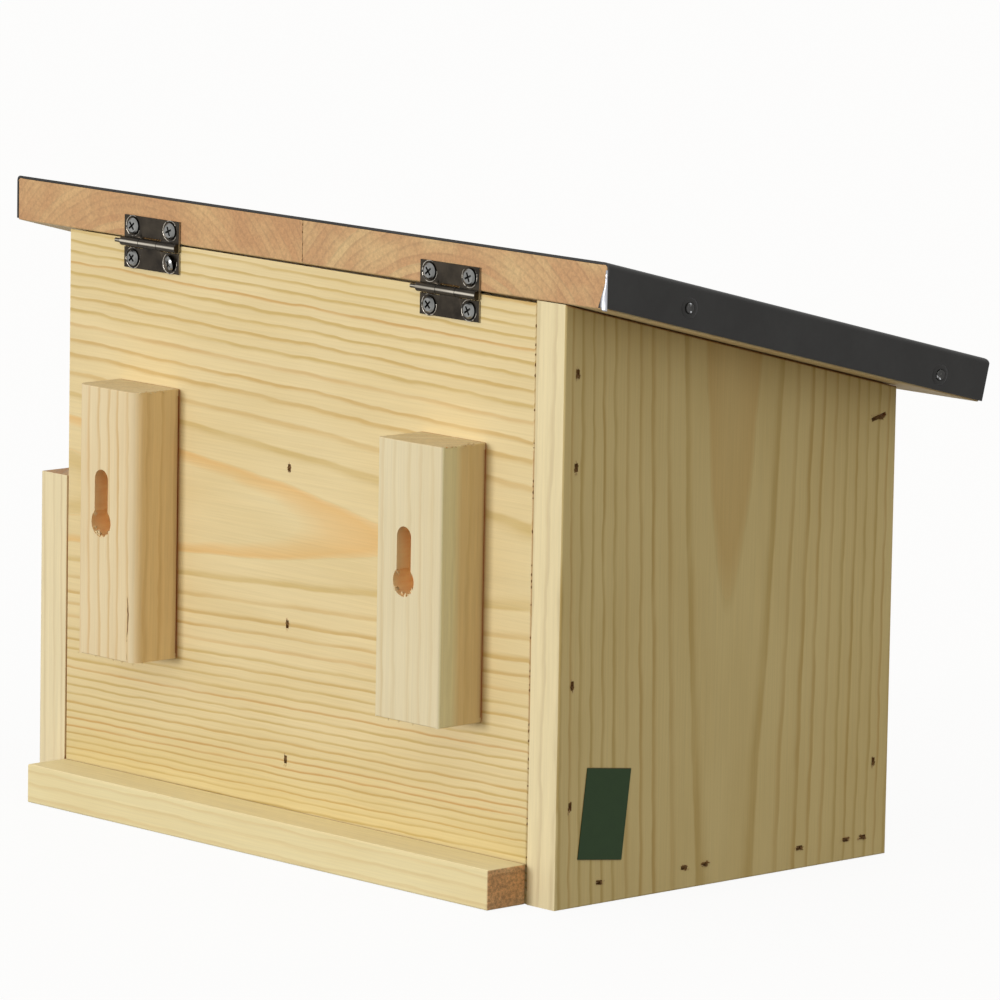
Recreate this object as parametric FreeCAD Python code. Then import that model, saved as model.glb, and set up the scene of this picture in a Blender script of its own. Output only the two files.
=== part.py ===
import FreeCAD, Part
import math
import os

# Squirrel feeder box: a pine box with a hinged, metal-clad lid, hung on a wall by two keyhole battens.
# Millimetres, +Z up, front towards -Y. Left and right are as seen from the front, so -X is left.
# Pieces are drawn with the back panel's rear face on Y = 0, the box's middle on X = 0 and its foot on Z = 0.
# Each is then moved by LID_SHIFT and BACK_Y, so that the origin lies under the middle of the whole object.

# Box boards
BOX_WIDTH = 230.0  # over both side panels
SIDE_DEPTH = 135.0  # from the back face to the front edge
BACK_HEIGHT = 174.5  # full side panel's back edge
FRONT_HEIGHT = 140.0  # full side panel's front edge
LOW_SIDE_HEIGHT = 99.0  # wall of the open side
SIDE_THICKNESS = 12.5
BACK_THICKNESS = 10.0
BACK_SHORT = (0.7, 0.1)  # its top below the sloping top, at its left and right ends
FLOOR_THICKNESS = 12.5
FRONT_THICKNESS = 12.5  # front board and rail
FRONT_BOARD_HEIGHT = 32.0  # above the floor board
RAIL_HEIGHT = 20.0  # at its front face
PARTITION_THICKNESS = 12.5
PARTITION_HEADROOM = 5.7  # its top edge below the sloping top, at its front end
PARTITION_X = 1.6  # its middle plane

# Window pane of the feed bin, in grooves of the full side panel and the partition
PANE_THICKNESS = 2.0
PANE_HEADROOM = 10.6  # its top edge below the sloping top, at the groove
PANE_SETBACK = 6.0  # from the front board's inner face to the groove
GROOVE_DEPTH = 4.0
PANE_CLEARANCE = 0.3  # at each face and each edge

# Lid
ROOF_THICKNESS = 12.3
ROOF_SIDE_OVERHANG = 14.1  # with the lid in the middle of the box
ROOF_FRONT_OVERHANG = 18.2  # along the slope
LID_SHIFT = -2.2  # lid's middle from the box's middle
ROOF_SEAM_X = -0.6  # glue line between the two boards, from the lid's middle
LID_GAP = 0.3  # upright gap between the lid and the box
SHEET = 0.7  # roof sheet's thickness
SHEET_BEND = 0.8  # inner radius of its folds
FOLD_CLEARANCE = 0.3  # added to the boards' rounding under the folds
FLANGE_LIFT = 0.4  # wood left bare below the flanges
CORNER_SLIT = 0.4  # between the front flange and each side flange
TAB_WIDTH = 2.8  # left flange's back tip, tapped in over the boards' corner
TAB_HEIGHT = 9.2
NAIL_FROM_BACK = 31.4
NAIL_FROM_FRONT = 19.2
NAIL_DROP = 1.2  # front nails, below the middle of the boards
NAIL_HEAD_RADIUS = 1.6
NAIL_HEAD_THICKNESS = 0.4
NAIL_SHANK_RADIUS = 0.7
NAIL_LENGTH = 14.0

# Hinges
HINGE_X = {"left": -67.0, "right": 64.0}
HINGE_LENGTH = 25.0
HINGE_DROP = 1.0  # pin axis below the top of the back panel
LEAF_WIDTH = 7.9  # pin axis to the leaf's free edge
LEAF_THICKNESS = 0.7
LEAF_EDGE_GAP = 0.4  # leaf edge to the other leaf's barrel
KNUCKLE_GAP = 0.2
PIN_RADIUS = 0.65
PIN_CLEARANCE = 0.05
PIN_PROUD = 3.0  # on the right end
SCREW_INSET = 4.1  # from the leaf's ends
SCREW_HEAD_RADIUS = 2.4
SCREW_HEAD_CONE = 1.3
SCREW_HEAD_CROWN = 0.5
SCREW_SHANK_RADIUS = 1.2
SCREW_LENGTH = 8.0  # shank below the head
SCREW_PROUD = 0.2  # head's rim above the leaf
RECESS_ARM = 0.6  # cross recess: arm and half width as shares of the head's radius, depth of its cone
RECESS_HALF_WIDTH = 0.13
RECESS_DEPTH = 0.5
SCREW_TURNS = {1: (22.0, 38.0), -1: (31.0, 44.0)}  # how far each recess is turned, on the lid and the box
COUNTERSINK_RADIUS = 3.1
ASKEW_AIM = (0.36, 1.0, -0.28)  # head's direction of the one screw driven askew

# Hangers and spacer on the back
HANGER_WIDTH = 27.2
HANGER_DEPTH = 16.8
HANGER_LENGTH = 81.4
HANGER_FROM_TOP = 43.1  # its upper end below the back panel's top
HANGER_EASE = {"left": 0.9, "right": 3.4}  # rounding of the outer long edges
HANGER_SHIFT = -2.0  # batten's middle from its keyhole
KEYHOLE_SPACING = 134.0
KEYHOLE_TRAVEL = 13.0  # from the entry hole, at the hanger's middle, to the slot's end centre
KEYHOLE_RADIUS = 4.4
SLOT_RADIUS = 3.0
KEYHOLE_LIP = 5.0  # wood that the screw head hooks behind
KEYHOLE_DEPTH = 10.0
SPACER_DEPTH = 15.0
SPACER_HEIGHT = 11.8
HANGER_SCREW_INSET = 11.0  # from the hanger's ends
HANGER_SCREW_HEAD_RADIUS = 3.2
HANGER_SCREW_SHANK_RADIUS = 1.6
HANGER_SCREW_CROWN = 0.1
HANGER_SCREW_BITE = 6.0  # depth in the hanger, short of its keyhole

# Brads, and their places as shares of the edges that they hold
BRAD_THICK = 1.2
BRAD_WIDE = 2.4
BRAD_LENGTH = 22.0
BRAD_SINK = 0.8
STAPLE_CROWN = 6.0  # the one staple, through the full side panel into the rail
STAPLE_LEAN = 14.0  # degrees, rising to the front
STAPLE_RISE = 1.6  # its middle above the rail's middle
STAPLE_SETBACK = 1.2  # and behind it
BACK_EDGE_BRADS = (0.170, 0.372, 0.731, 0.885)  # up the full side panel's back edge
LOW_EDGE_BRADS = (0.30, 0.84)  # up the low side panel's back edge
FOOT_BRADS = (0.127, 0.379, 0.442, 0.730, 0.874, 0.926)  # from back to front into the floor board
PARTITION_BRADS = (0.113, 0.437, 0.809)  # up the partition
SPACER_BRAD_SPACING = 70.0
SPACER_BRAD_COVER = 3.0  # wood left over their tips

# Sticker on the full side panel
LABEL_WIDTH = 17.5
LABEL_HEIGHT = 26.5
LABEL_THICKNESS = 0.2
LABEL_FROM_BACK = 18.6  # its middle
LABEL_RISE = 26.1
LABEL_LEAN = 7.0  # degrees

NEAR = 1e-4  # two places closer than this are the same
V = FreeCAD.Vector
X_AXIS = V(1, 0, 0)
Y_AXIS = V(0, 1, 0)
Z_AXIS = V(0, 0, 1)

# Places that follow from the sizes above
SLOPE_RISE = (BACK_HEIGHT - FRONT_HEIGHT) / SIDE_DEPTH
SLOPE = math.atan(SLOPE_RISE)
SIDE_X = BOX_WIDTH / 2
INNER_X = SIDE_X - SIDE_THICKNESS
FRONT_INNER_Y = FRONT_THICKNESS - SIDE_DEPTH
FRONT_MIDDLE_Y = FRONT_THICKNESS / 2 - SIDE_DEPTH
FRONT_BOARD_MIDDLE = FLOOR_THICKNESS + FRONT_BOARD_HEIGHT / 2
RAIL_MIDDLE = FRONT_HEIGHT - RAIL_HEIGHT / 2
PARTITION_LEFT_X = PARTITION_X - PARTITION_THICKNESS / 2
PARTITION_RIGHT_X = PARTITION_X + PARTITION_THICKNESS / 2
PARTITION_TOP = BACK_HEIGHT + SLOPE_RISE * FRONT_INNER_Y - PARTITION_HEADROOM
GROOVE_Y = FRONT_INNER_Y + PANE_SETBACK
GROOVE_WIDTH = PANE_THICKNESS + 2 * PANE_CLEARANCE
PANE_TOP = BACK_HEIGHT + SLOPE_RISE * GROOVE_Y - PANE_HEADROOM
ROOF_X = SIDE_X + ROOF_SIDE_OVERHANG
ROOF_RUN = SIDE_DEPTH / math.cos(SLOPE) + ROOF_FRONT_OVERHANG
ROOF_TOP = ROOF_THICKNESS + SHEET
LID_FOOT = BACK_HEIGHT + LID_GAP
FOLD_RADIUS = SHEET_BEND + SHEET
BARREL_RADIUS = PIN_RADIUS + LEAF_THICKNESS
HINGE_Z = BACK_HEIGHT - HINGE_DROP
LEAF_EDGE = BARREL_RADIUS + LEAF_EDGE_GAP
SCREW_ROW = (LEAF_EDGE + LEAF_WIDTH) / 2
SCREW_STEP = HINGE_LENGTH / 2 - SCREW_INSET
HANGER_TOP = BACK_HEIGHT - HANGER_FROM_TOP
HANGER_FOOT = HANGER_TOP - HANGER_LENGTH
KEYHOLE_X = {"left": -KEYHOLE_SPACING / 2, "right": KEYHOLE_SPACING / 2}
KEYHOLE_Z = HANGER_FOOT + HANGER_LENGTH / 2

# The lid reaches furthest to both sides, its front fold furthest forward and the hangers furthest back.
FOLD_RUN = ROOF_RUN + SHEET - FOLD_RADIUS
ROOF_NOSE = FOLD_RUN * math.cos(SLOPE) + (ROOF_TOP - FOLD_RADIUS) * math.sin(SLOPE) + FOLD_RADIUS
BACK_Y = (ROOF_NOSE - HANGER_DEPTH) / 2


def block(x_span, y_span, z_span):
    """Box between two values on each axis."""
    corner = V(x_span[0], y_span[0], z_span[0])
    return Part.makeBox(x_span[1] - x_span[0], y_span[1] - y_span[0], z_span[1] - z_span[0], corner)


def slab(outline, x_span):
    """Board whose side outline is a list of (y, z) corners, between two X values."""
    corners = [V(x_span[0], y, z) for y, z in outline]
    face = Part.Face(Part.makePolygon(corners + corners[:1]))
    return face.extrude(V(x_span[1] - x_span[0], 0, 0))


def rod(radius, start, direction, length):
    """Round bar from a start point."""
    return Part.makeCylinder(radius, length, start, direction)


def fused(shapes):
    """One solid from several that meet."""
    return shapes[0].multiFuse(shapes[1:]).removeSplitter()


def rest_height(y):
    """Height of the box's sloping top at a place in front of the back face."""
    return BACK_HEIGHT + SLOPE_RISE * y


def save(name, shape):
    """Moves a piece into the object's frame and writes it."""
    shape = shape.copy()
    shape.translate(V(-LID_SHIFT, BACK_Y, 0))
    shape.exportStep("parts/" + name + ".step")


def brads(places, inward, grain, length=BRAD_LENGTH):
    """Brads driven in at surface points: their bodies, and the holes that they leave."""
    turn = FreeCAD.Rotation(grain.cross(inward), grain, inward, "ZYX")
    bodies, holes = [], []
    for place in places:
        body = Part.makeBox(BRAD_THICK, BRAD_WIDE, length, V(-BRAD_THICK / 2, -BRAD_WIDE / 2, BRAD_SINK))
        hole = Part.makeBox(BRAD_THICK, BRAD_WIDE, length + BRAD_SINK, V(-BRAD_THICK / 2, -BRAD_WIDE / 2, 0))
        body.Placement = FreeCAD.Placement(place, turn)
        hole.Placement = FreeCAD.Placement(place, turn)
        bodies.append(body)
        holes.append(hole)
    return bodies, holes


def staple(place, inward, across):
    """Staple driven in at a surface point, its crown laid across: its body, and the hole that it leaves."""
    turn = FreeCAD.Rotation(across.cross(inward), across, inward, "ZYX")
    leg_y = (STAPLE_CROWN - BRAD_THICK) / 2
    wire = (-BRAD_THICK / 2, BRAD_THICK / 2)
    shapes = []
    for top in (BRAD_SINK, 0):
        bars = [block(wire, (-STAPLE_CROWN / 2, STAPLE_CROWN / 2), (top, BRAD_SINK + BRAD_THICK))]
        for y in (-leg_y, leg_y):
            bars.append(block(wire, (y - BRAD_THICK / 2, y + BRAD_THICK / 2), (top, BRAD_SINK + BRAD_LENGTH)))
        shape = fused(bars)
        shape.Placement = FreeCAD.Placement(place, turn)
        shapes.append(shape)
    return shapes[:1], shapes[1:]


def wood_screw(place, facing, head, shank_radius, length, turn=0.0):
    """Cross-head screw, its head's rim at a place, facing a direction and turned: its body and its hole."""
    head_radius, cone, crown = head
    tip = -cone - length
    outline = [
        V(0, 0, tip),
        V(shank_radius, 0, tip + 2 * shank_radius),
        V(shank_radius, 0, -cone),
        V(head_radius, 0, 0),
        V(head_radius - crown, 0, crown),
        V(0, 0, crown),
    ]
    hole = Part.Face(Part.makePolygon(outline + outline[:1])).revolve(V(0, 0, 0), Z_AXIS, 360)
    arm = (-RECESS_ARM * head_radius, RECESS_ARM * head_radius)
    across = (-RECESS_HALF_WIDTH * head_radius, RECESS_HALF_WIDTH * head_radius)
    deep = (-RECESS_DEPTH * cone, crown)
    body = hole.cut([block(arm, across, deep), block(across, arm, deep)])
    for shape in (body, hole):
        turned = FreeCAD.Rotation(Z_AXIS, facing).multiply(FreeCAD.Rotation(Z_AXIS, turn))
        shape.Placement = FreeCAD.Placement(place, turned)
    return body, hole


def side_brads(side, back_heights):
    """Brads of one side panel: upright ones at its back and front edges, level ones along its foot."""
    outer_x = side * SIDE_X
    inward = V(-side, 0, 0)
    edge_places = [V(outer_x, -BACK_THICKNESS / 2, z) for z in back_heights]
    edge_places.append(V(outer_x, FRONT_MIDDLE_Y, FRONT_BOARD_MIDDLE))
    foot_places = [V(outer_x, -share * SIDE_DEPTH, FLOOR_THICKNESS / 2) for share in FOOT_BRADS]
    edge_bodies, edge_holes = brads(edge_places, inward, Z_AXIS)
    foot_bodies, foot_holes = brads(foot_places, inward, Y_AXIS)
    return edge_bodies + foot_bodies, edge_holes + foot_holes


def full_side_brads():
    """The full side panel's brads, and the staple that holds the rail's end."""
    bodies, holes = side_brads(-1, [share * BACK_HEIGHT for share in BACK_EDGE_BRADS])
    lean = math.radians(STAPLE_LEAN)
    place = V(-SIDE_X, FRONT_MIDDLE_Y + STAPLE_SETBACK, RAIL_MIDDLE + STAPLE_RISE)
    staple_bodies, staple_holes = staple(place, X_AXIS, V(0, -math.cos(lean), math.sin(lean)))
    return bodies + staple_bodies, holes + staple_holes


def partition_brads():
    """Brads through the back panel into the partition's rear edge."""
    rise = PARTITION_TOP - FLOOR_THICKNESS
    places = [V(PARTITION_X, 0, FLOOR_THICKNESS + share * rise) for share in PARTITION_BRADS]
    return brads(places, -Y_AXIS, Z_AXIS)


def front_brads():
    """Brads through the front board and the rail into the partition's front edge."""
    places = [V(PARTITION_X, -SIDE_DEPTH, z) for z in (FRONT_BOARD_MIDDLE, RAIL_MIDDLE)]
    return brads(places, Y_AXIS, Z_AXIS)


def spacer_brads():
    """Brads through the back panel's foot into the spacer, set before the floor board goes in."""
    places = [V(step * SPACER_BRAD_SPACING, -BACK_THICKNESS, SPACER_HEIGHT / 2) for step in (-1, 0, 1)]
    return brads(places, Y_AXIS, X_AXIS, BACK_THICKNESS + SPACER_DEPTH - SPACER_BRAD_COVER - BRAD_SINK)


def leaf_screws(rise):
    """Screws of both hinges' leaves: rise is 1 on the lid and -1 on the box, where one is askew."""
    bodies, holes = [], []
    for name, middle in HINGE_X.items():
        for step, turn in zip((-1, 1), SCREW_TURNS[rise]):
            askew = (name, rise, step) == ("right", -1, -1)
            facing = V(*ASKEW_AIM) if askew else Y_AXIS
            place = V(middle + step * SCREW_STEP, LEAF_THICKNESS + SCREW_PROUD, HINGE_Z + rise * SCREW_ROW)
            head = (SCREW_HEAD_RADIUS, SCREW_HEAD_CONE, SCREW_HEAD_CROWN)
            body, hole = wood_screw(place, facing, head, SCREW_SHANK_RADIUS, SCREW_LENGTH, turn)
            bodies.append(body)
            holes.append(hole)
    return bodies, holes


def hanger_screws():
    """Screws driven from inside the box, through the back panel into the hangers."""
    cone = HANGER_SCREW_HEAD_RADIUS - HANGER_SCREW_SHANK_RADIUS
    length = BACK_THICKNESS + HANGER_SCREW_BITE - cone
    bodies, holes = [], []
    for hole_x in KEYHOLE_X.values():
        for z in (HANGER_FOOT + HANGER_SCREW_INSET, HANGER_TOP - HANGER_SCREW_INSET):
            place = V(hole_x + HANGER_SHIFT, -BACK_THICKNESS, z)
            head = (HANGER_SCREW_HEAD_RADIUS, cone, HANGER_SCREW_CROWN)
            body, hole = wood_screw(place, -Y_AXIS, head, HANGER_SCREW_SHANK_RADIUS, length)
            bodies.append(body)
            holes.append(hole)
    return bodies, holes


def hinge_leaf(middle, rise):
    """One hinge leaf, countersunk: the lid's has the outer knuckles, the box's has the middle one."""
    ends = (middle - HINGE_LENGTH / 2, middle + HINGE_LENGTH / 2)
    third = HINGE_LENGTH / 6
    if rise > 0:
        spans = [(ends[0], middle - third), (middle + third, ends[1])]
        bore = PIN_RADIUS + PIN_CLEARANCE
    else:
        spans = [(middle - third + KNUCKLE_GAP, middle + third - KNUCKLE_GAP)]
        bore = PIN_RADIUS
    thick = (0, LEAF_THICKNESS)
    edge_z = HINGE_Z + rise * LEAF_EDGE
    pieces = [block(ends, thick, sorted((edge_z, HINGE_Z + rise * LEAF_WIDTH)))]
    for span in spans:
        pieces.append(block(span, thick, sorted((HINGE_Z, edge_z))))
        pieces.append(rod(BARREL_RADIUS, V(span[0], BARREL_RADIUS, HINGE_Z), X_AXIS, span[1] - span[0]))
    cuts = [rod(bore, V(ends[0], BARREL_RADIUS, HINGE_Z), X_AXIS, HINGE_LENGTH)]
    for step in (-1, 1):
        seat = V(middle + step * SCREW_STEP, 0, HINGE_Z + rise * SCREW_ROW)
        cuts.append(Part.makeCone(SCREW_SHANK_RADIUS, COUNTERSINK_RADIUS, LEAF_THICKNESS, seat, Y_AXIS))
    return fused(pieces).cut(cuts)


def hinge_pin(middle):
    """Hinge pin, flush on the left and standing out on the right."""
    start = V(middle - HINGE_LENGTH / 2, BARREL_RADIUS, HINGE_Z)
    return rod(PIN_RADIUS, start, X_AXIS, HINGE_LENGTH + PIN_PROUD)


def tilted(shape):
    """Lid piece, drawn level with its underside on Z = 0, laid on the box and cut off at the back face."""
    shape = shape.copy()
    shape.rotate(V(0, 0, 0), X_AXIS, math.degrees(SLOPE))
    shape.translate(V(LID_SHIFT, 0, LID_FOOT))
    reach = 2 * ROOF_X
    return shape.cut(block((-reach, reach), (0, reach), (0, 2 * LID_FOOT)))


def top_edges(shape, back_y):
    """Upper edges of a level box, but not the one along its back end."""
    top = shape.BoundBox.ZMax
    edges = [edge for edge in shape.Edges if abs(edge.CenterOfMass.z - top) < NEAR]
    return [edge for edge in edges if abs(edge.CenterOfMass.y - back_y) > NEAR]


def roof_board(x_span):
    """One roof board, rounded under the sheet's folds at its front and its outer end."""
    board = block(x_span, (-ROOF_RUN, ROOF_TOP), (0, ROOF_THICKNESS))
    eased = [edge for edge in top_edges(board, ROOF_TOP) if abs(edge.CenterOfMass.x - ROOF_SEAM_X) > NEAR]
    return tilted(board.makeFillet(SHEET_BEND + FOLD_CLEARANCE, eased))


def roof_sheet():
    """Metal sheet folded down over both sides and the front, with its left back tip tapped in."""
    outer = block((-ROOF_X - SHEET, ROOF_X + SHEET), (-ROOF_RUN - SHEET, ROOF_TOP), (FLANGE_LIFT, ROOF_TOP))
    outer = outer.makeFillet(FOLD_RADIUS, top_edges(outer, ROOF_TOP))
    inner = block((-ROOF_X, ROOF_X), (-ROOF_RUN, 2 * ROOF_TOP), (0, ROOF_THICKNESS))
    inner = inner.makeFillet(SHEET_BEND, top_edges(inner, 2 * ROOF_TOP))
    slit_y = (-ROOF_RUN - SHEET, -ROOF_RUN)
    slit_z = (FLANGE_LIFT, ROOF_TOP - FOLD_RADIUS)
    slit_x = [(-ROOF_X, CORNER_SLIT - ROOF_X), (ROOF_X - CORNER_SLIT, ROOF_X)]
    slits = [block(x_span, slit_y, slit_z) for x_span in slit_x]
    foot = LID_FOOT + FLANGE_LIFT / math.cos(SLOPE)
    edge_x = LID_SHIFT - ROOF_X - SHEET
    tip_x = LID_SHIFT - ROOF_X + TAB_WIDTH
    corners = [V(edge_x, 0, foot), V(tip_x, 0, foot), V(edge_x, 0, foot + TAB_HEIGHT)]
    tab = Part.Face(Part.makePolygon(corners + corners[:1])).extrude(V(0, SHEET, 0))
    return fused([tilted(outer.cut(inner).cut(slits)), tab])


def sheet_nails():
    """Flat-headed nails through the side flanges into the boards: bodies that fill their holes."""
    nails = []
    for side in (-1, 1):
        for y, drop in ((-NAIL_FROM_BACK, 0), (NAIL_FROM_FRONT - ROOF_RUN, NAIL_DROP)):
            place = V(side * (ROOF_X + SHEET), y, ROOF_THICKNESS / 2 - drop)
            head = rod(NAIL_HEAD_RADIUS, place, V(side, 0, 0), NAIL_HEAD_THICKNESS)
            shank = rod(NAIL_SHANK_RADIUS, place, V(-side, 0, 0), NAIL_LENGTH)
            nails.append(tilted(fused([head, shank])))
    return nails, nails


def hanger(side):
    """Hanger batten with a keyhole slot: a wide entry hole, and a slot over it that widens behind a lip."""
    hole_x = KEYHOLE_X[side]
    middle = hole_x + HANGER_SHIFT
    x_span = (middle - HANGER_WIDTH / 2, middle + HANGER_WIDTH / 2)
    batten = block(x_span, (0, HANGER_DEPTH), (HANGER_FOOT, HANGER_TOP))
    outer_edges = [edge for edge in batten.Edges if abs(edge.CenterOfMass.y - HANGER_DEPTH) < NEAR]
    long_edges = [edge for edge in outer_edges if abs(edge.CenterOfMass.x - middle) > NEAR]
    batten = batten.makeFillet(HANGER_EASE[side], long_edges)
    lip_y = HANGER_DEPTH - KEYHOLE_LIP
    pocket_y = HANGER_DEPTH - KEYHOLE_DEPTH
    travel = (KEYHOLE_Z, KEYHOLE_Z + KEYHOLE_TRAVEL)
    cuts = [rod(KEYHOLE_RADIUS, V(hole_x, pocket_y, KEYHOLE_Z), Y_AXIS, KEYHOLE_DEPTH)]
    for radius, y_span in ((SLOT_RADIUS, (lip_y, HANGER_DEPTH)), (KEYHOLE_RADIUS, (pocket_y, lip_y))):
        cuts.append(block((hole_x - radius, hole_x + radius), y_span, travel))
        cuts.append(rod(radius, V(hole_x, y_span[0], travel[1]), Y_AXIS, y_span[1] - y_span[0]))
    return batten.cut(cuts).removeSplitter()


def label():
    """Blank sticker, a little askew on the full side panel."""
    half_width, half_height = LABEL_WIDTH / 2, LABEL_HEIGHT / 2
    plate = block((-LABEL_THICKNESS, 0), (-half_width, half_width), (-half_height, half_height))
    plate.rotate(V(0, 0, 0), X_AXIS, LABEL_LEAN)
    plate.translate(V(-SIDE_X, -LABEL_FROM_BACK, LABEL_RISE))
    return plate


def back_trim():
    """What a saw cut that wasn't quite square took off the back panel's top edge."""
    left, right = (BACK_HEIGHT - short for short in BACK_SHORT)
    clear = BACK_HEIGHT + BACK_THICKNESS
    corners = [(-INNER_X, left), (INNER_X, right), (INNER_X, clear), (-INNER_X, clear), (-INNER_X, left)]
    face = Part.Face(Part.makePolygon([V(x, 0, z) for x, z in corners]))
    return face.extrude(V(0, -BACK_THICKNESS, -SLOPE_RISE * BACK_THICKNESS))


def box_boards():
    """The box's boards and battens, before any fastener hole."""
    inner = (-INNER_X, INNER_X)
    side_outline = [(0, 0), (-SIDE_DEPTH, 0), (-SIDE_DEPTH, FRONT_HEIGHT), (0, BACK_HEIGHT)]
    back_top = rest_height(-BACK_THICKNESS)
    back_outline = [(0, 0), (-BACK_THICKNESS, 0), (-BACK_THICKNESS, back_top), (0, BACK_HEIGHT)]
    rail_foot = FRONT_HEIGHT - RAIL_HEIGHT
    rail_top = rest_height(FRONT_INNER_Y)
    rail_outline = [(-SIDE_DEPTH, rail_foot), (FRONT_INNER_Y, rail_foot), (FRONT_INNER_Y, rail_top)]
    rail_outline.append((-SIDE_DEPTH, FRONT_HEIGHT))
    groove_y = (GROOVE_Y, GROOVE_Y + GROOVE_WIDTH)
    side_groove = block((-INNER_X - GROOVE_DEPTH, -INNER_X), groove_y, (FLOOR_THICKNESS, BACK_HEIGHT))
    partition_x = (PARTITION_LEFT_X, PARTITION_RIGHT_X)
    partition_z = (FLOOR_THICKNESS, PARTITION_TOP)
    partition_groove = block((PARTITION_LEFT_X, PARTITION_LEFT_X + GROOVE_DEPTH), groove_y, partition_z)
    front_z = (FLOOR_THICKNESS, FLOOR_THICKNESS + FRONT_BOARD_HEIGHT)
    return {
        "back_panel": slab(back_outline, inner).cut(back_trim()),
        "full_side_panel": slab(side_outline, (-SIDE_X, -INNER_X)).cut(side_groove),
        "low_side_panel": block((INNER_X, SIDE_X), (-SIDE_DEPTH, 0), (0, LOW_SIDE_HEIGHT)),
        "floor_board": block(inner, (-SIDE_DEPTH, -BACK_THICKNESS), (0, FLOOR_THICKNESS)),
        "front_board": block(inner, (-SIDE_DEPTH, FRONT_INNER_Y), front_z),
        "front_rail": slab(rail_outline, (-INNER_X, PARTITION_RIGHT_X)),
        "partition": block(partition_x, (FRONT_INNER_Y, -BACK_THICKNESS), partition_z).cut(partition_groove),
        "bottom_spacer": block(inner, (0, SPACER_DEPTH), (0, SPACER_HEIGHT)),
        "left_hanger": hanger("left"),
        "right_hanger": hanger("right"),
    }


def window_pane():
    """Clear pane that stands on the floor board, with its edges in the two grooves."""
    edge = GROOVE_DEPTH - PANE_CLEARANCE
    front = GROOVE_Y + PANE_CLEARANCE
    x_span = (-INNER_X - edge, PARTITION_LEFT_X + edge)
    return block(x_span, (front, front + PANE_THICKNESS), (FLOOR_THICKNESS, PANE_TOP))


os.makedirs("parts", exist_ok=True)

# Each fastener leaves its own hole in what it holds, so the fasteners come first.
box_fasteners = {
    "full_side_brads": full_side_brads(),
    "low_side_brads": side_brads(1, [share * LOW_SIDE_HEIGHT for share in LOW_EDGE_BRADS]),
    "partition_brads": partition_brads(),
    "front_brads": front_brads(),
    "spacer_brads": spacer_brads(),
    "hanger_screws": hanger_screws(),
    "lower_leaf_screws": leaf_screws(-1),
}
lid_fasteners = {
    "upper_leaf_screws": leaf_screws(1),
    "roof_sheet_nails": sheet_nails(),
}
box_holes = [hole for bodies, holes in box_fasteners.values() for hole in holes]
lid_holes = [hole for bodies, holes in lid_fasteners.values() for hole in holes]
for fasteners in (box_fasteners, lid_fasteners):
    for name, (bodies, holes) in fasteners.items():
        save(name, Part.makeCompound(bodies))

for name, board in box_boards().items():
    save(name, board.cut(box_holes))
save("window_pane", window_pane())
save("blank_label", label())

for name, middle in HINGE_X.items():
    save(name + "_hinge_lower_leaf", hinge_leaf(middle, -1).cut(box_holes))
    save(name + "_hinge_pin", hinge_pin(middle))
    save(name + "_hinge_upper_leaf", hinge_leaf(middle, 1).cut(lid_holes))

save("left_roof_board", roof_board((-ROOF_X, ROOF_SEAM_X)).cut(lid_holes))
save("right_roof_board", roof_board((ROOF_SEAM_X, ROOF_X)).cut(lid_holes))
save("roof_sheet", roof_sheet().cut(lid_holes))
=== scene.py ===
import math
import random

import bpy
from mathutils import Matrix, Vector


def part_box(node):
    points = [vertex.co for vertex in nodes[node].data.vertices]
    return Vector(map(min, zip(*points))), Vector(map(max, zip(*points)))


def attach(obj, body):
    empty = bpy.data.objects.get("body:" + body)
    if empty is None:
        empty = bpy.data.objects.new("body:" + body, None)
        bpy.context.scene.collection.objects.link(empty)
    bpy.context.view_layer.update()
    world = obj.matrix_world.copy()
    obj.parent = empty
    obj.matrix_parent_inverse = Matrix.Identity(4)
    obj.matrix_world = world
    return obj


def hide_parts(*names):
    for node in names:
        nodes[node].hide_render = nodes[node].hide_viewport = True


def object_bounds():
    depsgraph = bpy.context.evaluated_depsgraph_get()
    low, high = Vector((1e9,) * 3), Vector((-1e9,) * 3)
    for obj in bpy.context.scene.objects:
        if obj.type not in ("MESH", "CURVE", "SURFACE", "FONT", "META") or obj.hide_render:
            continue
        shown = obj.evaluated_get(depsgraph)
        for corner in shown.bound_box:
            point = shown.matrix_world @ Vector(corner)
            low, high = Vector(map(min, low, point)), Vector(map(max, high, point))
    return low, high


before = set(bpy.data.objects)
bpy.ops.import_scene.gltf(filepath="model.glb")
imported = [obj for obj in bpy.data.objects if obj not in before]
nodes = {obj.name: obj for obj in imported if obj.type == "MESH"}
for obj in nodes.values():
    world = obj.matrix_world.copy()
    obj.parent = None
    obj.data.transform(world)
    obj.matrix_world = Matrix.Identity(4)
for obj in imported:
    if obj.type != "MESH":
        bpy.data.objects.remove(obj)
cad_low, cad_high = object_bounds()


# Back panel: one flat-sawn pine board, let in between the two sides with its grain level.
# Planed, with the saw-cut edges just taken off; everything else is nailed or screwed to it.
def linear(hex_colour):
    """A linear RGBA colour from an sRGB hex value such as "E7D4A3"."""
    out = []
    for at in (0, 2, 4):
        c = int(hex_colour[at:at + 2], 16) / 255
        out.append(c / 12.92 if c <= 0.04045 else ((c + 0.055) / 1.055) ** 2.4)
    return (*out, 1.0)


def add(tree, kind, inputs=None, **settings):
    """Add one node and give back its outputs.

    settings are its properties, and inputs are links or values by socket name or number.
    """
    node = tree.nodes.new(kind if "Node" in kind else "ShaderNode" + kind)
    for key, value in settings.items():
        setattr(node, key, value)
    for key, value in (inputs or {}).items():
        if isinstance(value, bpy.types.NodeSocket):
            tree.links.new(value, node.inputs[key])
        else:
            node.inputs[key].default_value = value
    return node.outputs


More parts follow.
